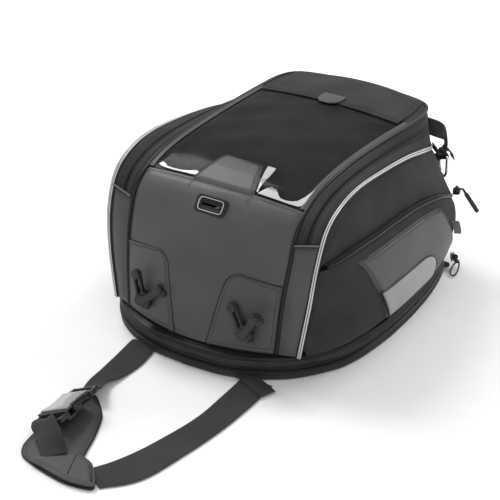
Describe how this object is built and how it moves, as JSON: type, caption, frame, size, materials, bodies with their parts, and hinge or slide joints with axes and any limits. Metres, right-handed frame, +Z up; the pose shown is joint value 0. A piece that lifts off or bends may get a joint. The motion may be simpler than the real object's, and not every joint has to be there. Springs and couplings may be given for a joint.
{
  "type": "tank bag",
  "caption": "Soft motorcycle tank bag with a zip-open lid, clear map pocket, side pockets, lashing hooks and a buckled harness strap.",
  "frame": {"origin": "centre of the underside of the base panel, at the height of the surface it stands on", "axes": "-Y towards the handlebar, where the hooks, the cable port and the harness strap are; +Y towards the rider; +Z up; +X completes a right-handed set and points to the side with the label"},
  "size_m": [0.3257, 0.6407, 0.2006],
  "materials": {
    "side_fabric": "woven polyester, matt",
    "soft_panel": "smooth soft-touch leatherette, satin",
    "piping_black": "satin piping",
    "reflective": "silver reflective tape",
    "badge": "grey reflective patch",
    "zip_tape": "zip tape",
    "clear_film": "clear flexible film",
    "lining": "plain lining",
    "board": "stiffening board",
    "webbing": "ribbed webbing",
    "black_plastic": "moulded nylon",
    "zip_metal": "black lacquered zip slider",
    "pull_rubber": "soft grip",
    "ring_metal": "satin steel",
    "buckle_grey": "glossy grey",
    "label": "folded cloth label, blank",
    "port_rubber": "moulded rubber"
  },
  "bodies": {
    "bag": {"base_panel": "lining", "base_board": "board", "base_lower_band": "side_fabric", "base_lower_piping": "piping_black", "base_zip_tape": "zip_tape", "base_upper_band": "side_fabric", "base_upper_piping": "piping_black", "front_panel_lower": "soft_panel", "front_corners": "soft_panel", "side_walls": "side_fabric", "rear_wall": "side_fabric", "zip_gusset": "side_fabric", "main_zip": "zip_tape", "front_piping": "piping_black", "reflective_piping": "reflective", "reinforcement_patches": "soft_panel", "lashing_hooks": "black_plastic", "hook_rivets": "black_plastic", "pocket_shell_right": "side_fabric", "pocket_shell_left": "side_fabric", "pocket_back_right": "lining", "pocket_back_left": "lining", "pocket_zips": "zip_tape", "pocket_faces": "soft_panel", "reflective_badges": "badge", "side_label": "label", "webbing_anchors": "webbing"},
    "lid": {"lid_front_panel": "soft_panel", "map_window": "clear_film", "window_tab": "soft_panel", "map_pocket_floor": "lining", "lid_rear_panel": "side_fabric", "lid_gusset": "side_fabric", "lid_piping": "piping_black", "cable_port_rim": "port_rubber", "cable_port_backing": "port_rubber"},
    "flap": {"map_flap": "side_fabric", "flap_pull": "soft_panel"},
    "main_slider_right": {"main_slider_right": "zip_metal"},
    "main_slider_left": {"main_slider_left": "zip_metal"},
    "main_puller_right": {"main_puller_right": "pull_rubber"},
    "main_puller_left": {"main_puller_left": "pull_rubber"},
    "pocket_slider_right": {"pocket_slider_right": "zip_metal"},
    "pocket_slider_left": {"pocket_slider_left": "zip_metal"},
    "pocket_puller_right": {"pocket_puller_right": "pull_rubber"},
    "pocket_puller_left": {"pocket_puller_left": "pull_rubber"},
    "base_slider": {"base_slider": "zip_metal"},
    "base_puller": {"base_puller": "pull_rubber"},
    "handle": {"carry_handle": "webbing"},
    "d_ring_right": {"d_ring_right": "ring_metal"},
    "d_ring_left": {"d_ring_left": "ring_metal"},
    "harness": {"harness_straps": "webbing", "harness_pad": "soft_panel", "pad_sleeve": "soft_panel", "buckle_web": "webbing", "buckle_housing": "buckle_grey"},
    "buckle_male": {"buckle_male": "black_plastic", "buckle_male_web": "webbing"},
    "prong_right": {"buckle_prong_right": "black_plastic"},
    "prong_left": {"buckle_prong_left": "black_plastic"}
  },
  "joints": [
    {"name": "lid_hinge", "type": "hinge", "parent": "bag", "child": "lid", "pos_m": [0, -0.163, 0.15], "axis": [1, 0, 0], "range_deg": [0, 100]},
    {"name": "map_flap_hinge", "type": "hinge", "parent": "lid", "child": "flap", "pos_m": [0, 0.16393, 0.19443], "axis": [-1, 0, 0], "range_deg": [0, 110]},
    {"name": "main_zip_right", "type": "slide", "parent": "bag", "child": "main_slider_right", "axis": [1, 0, 0], "range_m": [0, 0.035]},
    {"name": "main_puller_right_swing", "type": "hinge", "parent": "main_slider_right", "child": "main_puller_right", "pos_m": [0.00911, 0.18329, 0.16572], "axis": [0, 0, 1], "range_deg": [0, 90]},
    {"name": "pocket_zip_right", "type": "slide", "parent": "bag", "child": "pocket_slider_right", "axis": [0.1133, -0.9065, 0.4066], "range_m": [0, 0.06]},
    {"name": "pocket_puller_right_swing", "type": "hinge", "parent": "pocket_slider_right", "child": "pocket_puller_right", "pos_m": [0.14469, 0.14925, 0.10106], "axis": [0.5, -0.866, 0], "range_deg": [0, 110]},
    {"name": "d_ring_right_swing", "type": "hinge", "parent": "bag", "child": "d_ring_right", "pos_m": [0.11518, 0.15478, 0.136], "axis": [0.7314, -0.682, 0], "range_deg": [0, 85]},
    {"name": "main_zip_left", "type": "slide", "parent": "bag", "child": "main_slider_left", "axis": [-1, 0, 0], "range_m": [0, 0.035]},
    {"name": "main_puller_left_swing", "type": "hinge", "parent": "main_slider_left", "child": "main_puller_left", "pos_m": [-0.00911, 0.18329, 0.16572], "axis": [0, 0, -1], "range_deg": [0, 90]},
    {"name": "pocket_zip_left", "type": "slide", "parent": "bag", "child": "pocket_slider_left", "axis": [-0.1133, -0.9065, 0.4066], "range_m": [0, 0.06]},
    {"name": "pocket_puller_left_swing", "type": "hinge", "parent": "pocket_slider_left", "child": "pocket_puller_left", "pos_m": [-0.14469, 0.14925, 0.10106], "axis": [0.5, 0.866, 0], "range_deg": [0, 110]},
    {"name": "d_ring_left_swing", "type": "hinge", "parent": "bag", "child": "d_ring_left", "pos_m": [-0.11518, 0.15478, 0.136], "axis": [0.7314, 0.682, 0], "range_deg": [0, 85]},
    {"name": "base_zip", "type": "slide", "parent": "bag", "child": "base_slider", "axis": [0.6018, -0.7986, 0], "range_m": [0, 0.018]},
    {"name": "base_puller_swing", "type": "hinge", "parent": "base_slider", "child": "base_puller", "pos_m": [0.14239, 0.14711, 0.013], "axis": [0.6018, -0.7986, 0], "range_deg": [0, 60]},
    {"name": "carry_handle_swing", "type": "hinge", "parent": "bag", "child": "handle", "pos_m": [0, 0.155, 0.15], "axis": [-1, 0, 0], "range_deg": [-25, 10]},
    {"name": "harness_swing", "type": "hinge", "parent": "bag", "child": "harness", "pos_m": [0, -0.2055, 0.0009], "axis": [-1, 0, 0], "range_deg": [0, 60]},
    {"name": "buckle_release", "type": "slide", "parent": "harness", "child": "buckle_male", "axis": [-0.0663, 0.9978, 0], "range_m": [0, 0.032]},
    {"name": "prong_right_squeeze", "type": "hinge", "parent": "buckle_male", "child": "prong_right", "pos_m": [-0.02831, -0.3349, 0.02451], "axis": [0.4217, 0.028, -0.9063], "range_deg": [0, 7], "stiffness_Nm_per_rad": 0.05},
    {"name": "prong_left_squeeze", "type": "hinge", "parent": "buckle_male", "child": "prong_left", "pos_m": [-0.05001, -0.33634, 0.01437], "axis": [-0.4217, -0.028, 0.9063], "range_deg": [0, 7], "stiffness_Nm_per_rad": 0.05}
  ],
  "couplings": [
    {"joint": "prong_left_squeeze", "follows": "prong_right_squeeze", "ratio": 1}
  ]
}
